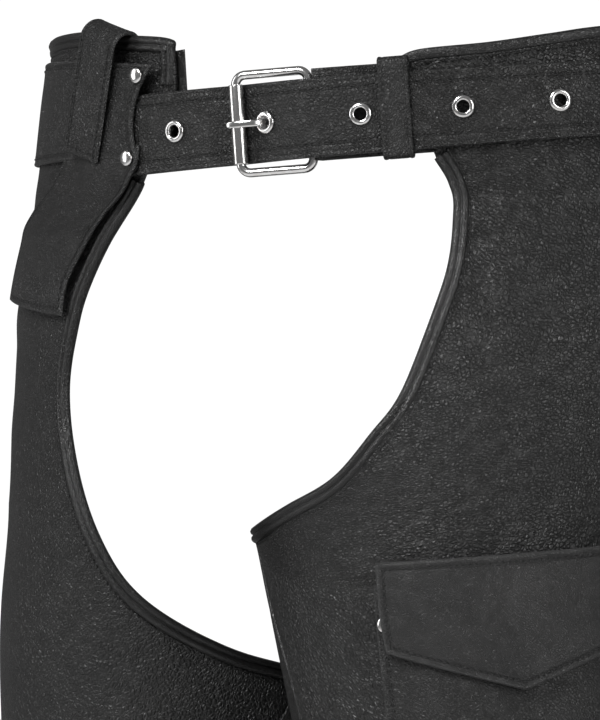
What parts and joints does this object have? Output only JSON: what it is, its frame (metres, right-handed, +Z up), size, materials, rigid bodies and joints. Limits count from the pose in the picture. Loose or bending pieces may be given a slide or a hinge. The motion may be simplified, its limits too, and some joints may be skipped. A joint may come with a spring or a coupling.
{
  "type": "leather riding chaps",
  "caption": "Pair of open-seat leather leg coverings joined by a buckled belt, with side zips and a thigh pocket.",
  "frame": {"origin": "centre of the waist ring at the height of the belt's middle, where the wearer's waist holds the garment", "axes": "+Z up, the wearer faces -Y and the wearer's left leg is on +X"},
  "size_m": [0.4105, 0.2839, 1.0624],
  "materials": {
    "body_leather": "pebbled, semi-gloss",
    "belt_leather": "fine grain, semi-gloss",
    "edge_leather": "smooth folded edge",
    "lining": "matt woven lining",
    "zip_tape": "woven tape",
    "zip_metal": "satin nickel",
    "nickel": "polished nickel"
  },
  "bodies": {
    "garment": {"right_front_panel": "body_leather", "right_back_panel": "body_leather", "right_front_binding": "edge_leather", "right_seat_binding": "edge_leather", "right_cuff": "edge_leather", "left_front_panel": "body_leather", "left_back_panel": "body_leather", "left_front_binding": "edge_leather", "left_seat_binding": "edge_leather", "left_cuff": "edge_leather", "right_top_binding": "edge_leather", "right_zip_front_tape": "zip_tape", "right_zip_back_tape": "zip_tape", "right_zip_teeth": "zip_metal", "right_zip_stop": "zip_metal", "left_zip_front_tape": "zip_tape", "left_zip_back_tape": "zip_tape", "left_zip_teeth": "zip_metal", "left_zip_stop": "zip_metal", "right_waist_facing": "lining", "left_waist_facing": "lining", "back_waist_panel": "body_leather", "right_hip_band": "body_leather", "strap_rivet_upper": "nickel", "strap_rivet_lower": "nickel", "right_hip_loop": "body_leather", "right_hip_patch": "body_leather", "left_hip_band": "body_leather", "left_hip_loop": "body_leather", "eyelet_1": "nickel", "eyelet_2": "nickel", "eyelet_3": "nickel", "eyelet_4": "nickel", "eyelet_5": "nickel", "eyelet_6": "nickel", "eyelet_strap": "belt_leather", "buckle_billet": "belt_leather", "strap_keeper": "belt_leather", "buckle_frame": "nickel", "buckle_prong": "nickel", "thigh_pocket": "body_leather", "pocket_rivet_front": "nickel", "pocket_rivet_rear": "nickel"},
    "buckle_roller": {"buckle_roller": "nickel"},
    "left_zip_pull": {"left_zip_pull": "zip_metal"},
    "left_zip_slider": {"left_zip_slider": "zip_metal"},
    "pocket_flap": {"pocket_flap": "body_leather"},
    "right_zip_pull": {"right_zip_pull": "zip_metal"},
    "right_zip_slider": {"right_zip_slider": "zip_metal"}
  },
  "joints": [
    {"name": "left_zip_travel", "type": "slide", "parent": "garment", "child": "left_zip_slider", "axis": [-0.0114, 0.0357, 0.9993], "range_m": [0, 0.64]},
    {"name": "left_zip_pull_swing", "type": "hinge", "parent": "left_zip_slider", "child": "left_zip_pull", "pos_m": [0.16782, -0.06881, -0.9666], "axis": [0, -0.9994, 0.0357], "range_deg": [0, 165]},
    {"name": "right_zip_travel", "type": "slide", "parent": "garment", "child": "right_zip_slider", "axis": [-0.0043, -0.0186, 0.9998], "range_m": [0, 0.64]},
    {"name": "right_zip_pull_swing", "type": "hinge", "parent": "right_zip_slider", "child": "right_zip_pull", "pos_m": [-0.22634, 0.02438, -0.9666], "axis": [0, 0.9998, 0.0186], "range_deg": [0, 165]},
    {"name": "roller_spin", "type": "hinge", "parent": "garment", "child": "buckle_roller", "pos_m": [-0.02423, -0.11649, 0], "axis": [0, 0, 1], "continuous": true},
    {"name": "flap_lift", "type": "hinge", "parent": "garment", "child": "pocket_flap", "pos_m": [0.11843, -0.13474, -0.2215], "axis": [-0.7835, -0.6214, 0], "range_deg": [0, 110]}
  ]
}
